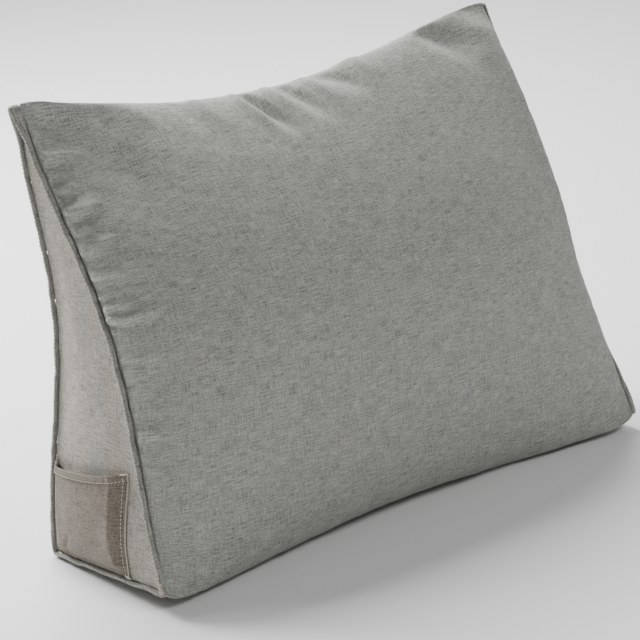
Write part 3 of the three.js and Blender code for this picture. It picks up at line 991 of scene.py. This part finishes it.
fabrics = {name: clothMaterial(name, look) for name, look in cloths.items()}
creamThread = threadMaterial("creamThread", (0.75, 0.69, 0.58))
edgeThread = threadMaterial("edgeThread", (0.56, 0.52, 0.44))
greyThread = threadMaterial("greyThread", (0.66, 0.64, 0.58))
for piece, material in (
    (cushionCover, fabrics["cushionCloth"]), (pocketCloth, fabrics["pocketCloth"]),
    (ridgeLeft, fabrics["seamClothPaintedShade"]), (ridgeRight, fabrics["seamClothPaintedShade"]),
    (panelLeft, fabrics["panelCloth"]), (panelRight, fabrics["panelCloth"]),
    (stitchesLeft, greyThread), (stitchesRight, greyThread), (pocketStitches, creamThread),
    (pocketEdge, edgeThread), (footStitches, creamThread),
):
    piece.data.materials.append(material)
print("materials made")

# Studio

studio = {
    "azimuth": -39.36,
    "elevation": 19.54,
    "roll": -2.43,
    "lens": 136.7,
    "distance": 2.468,
    "target": (-0.04433, 0.0, 0.20118),
    "world": 0.19,
    "floorTone": 0.84,
    "floorSize": 12,
}

lamps = [
    {"name": "above", "at": (0.3, 1.3, 2.2), "aim": (0, 0, 0.3), "size": 1.0, "power": 92},
    {"name": "side", "at": (-1.0, 0.85, 1.1), "aim": (-0.3, 0, 0.40), "size": 0.3, "power": 4.5},
    {"name": "rim", "at": (-0.7, 1.9, 1.6), "aim": (-0.1, 0.1, 0.42), "size": 0.8, "power": 90},
    {"name": "front", "at": (0.3, -2.0, 2.3), "aim": (0, 0, 0.2), "size": 0.9, "power": 28},
    {"name": "behind", "at": (1.6, 2.0, 1.8), "aim": (1.4, 1.7, 0), "size": 1.2, "power": 24},
]


def makeCamera():
    azimuth, elevation, roll = (math.radians(studio[k]) for k in ("azimuth", "elevation", "roll"))
    flat = math.cos(elevation)
    back = Vector((math.sin(azimuth) * flat, -math.cos(azimuth) * flat, math.sin(elevation)))
    level = Vector((math.cos(azimuth), math.sin(azimuth), 0))
    upright = back.cross(level)
    right = level * math.cos(roll) + upright * math.sin(roll)
    up = upright * math.cos(roll) - level * math.sin(roll)
    data = bpy.data.cameras.new("camera")
    data.lens = studio["lens"]
    data.sensor_width = 36
    camera = bpy.data.objects.new("camera", data)
    spot = Vector(studio["target"]) + Vector(middle.tolist()) + back * studio["distance"]
    camera.matrix_world = Matrix.Translation(spot) @ Matrix((right, up, back)).transposed().to_4x4()
    bpy.context.scene.collection.objects.link(camera)
    bpy.context.scene.camera = camera


def makeLamp(lamp):
    data = bpy.data.lights.new(lamp["name"], "AREA")
    data.size = lamp["size"]
    data.energy = lamp["power"]
    light = bpy.data.objects.new(lamp["name"], data)
    light.location = lamp["at"]
    ahead = Vector(lamp["aim"]) - Vector(lamp["at"])
    light.rotation_euler = ahead.to_track_quat("-Z", "Y").to_euler()
    bpy.context.scene.collection.objects.link(light)


def makeFloor():
    builder = bmesh.new()
    bmesh.ops.create_grid(builder, x_segments=1, y_segments=1, size=studio["floorSize"])
    mesh = bpy.data.meshes.new("floor")
    builder.to_mesh(mesh)
    builder.free()
    floor = bpy.data.objects.new("floor", mesh)
    bpy.context.scene.collection.objects.link(floor)
    material = bpy.data.materials.new("floorPaper")
    material.use_nodes = True
    shader = material.node_tree.nodes["Principled BSDF"]
    shader.inputs["Base Color"].default_value = (*[studio["floorTone"]] * 3, 1)
    shader.inputs["Roughness"].default_value = 0.9
    mesh.materials.append(material)
    world = bpy.data.worlds.new("studio")
    world.use_nodes = True
    background = world.node_tree.nodes["Background"]
    background.inputs["Color"].default_value = (1, 1, 1, 1)
    background.inputs["Strength"].default_value = studio["world"]
    bpy.context.scene.world = world


makeCamera()
makeFloor()
for lamp in lamps:
    makeLamp(lamp)
print("studio made")
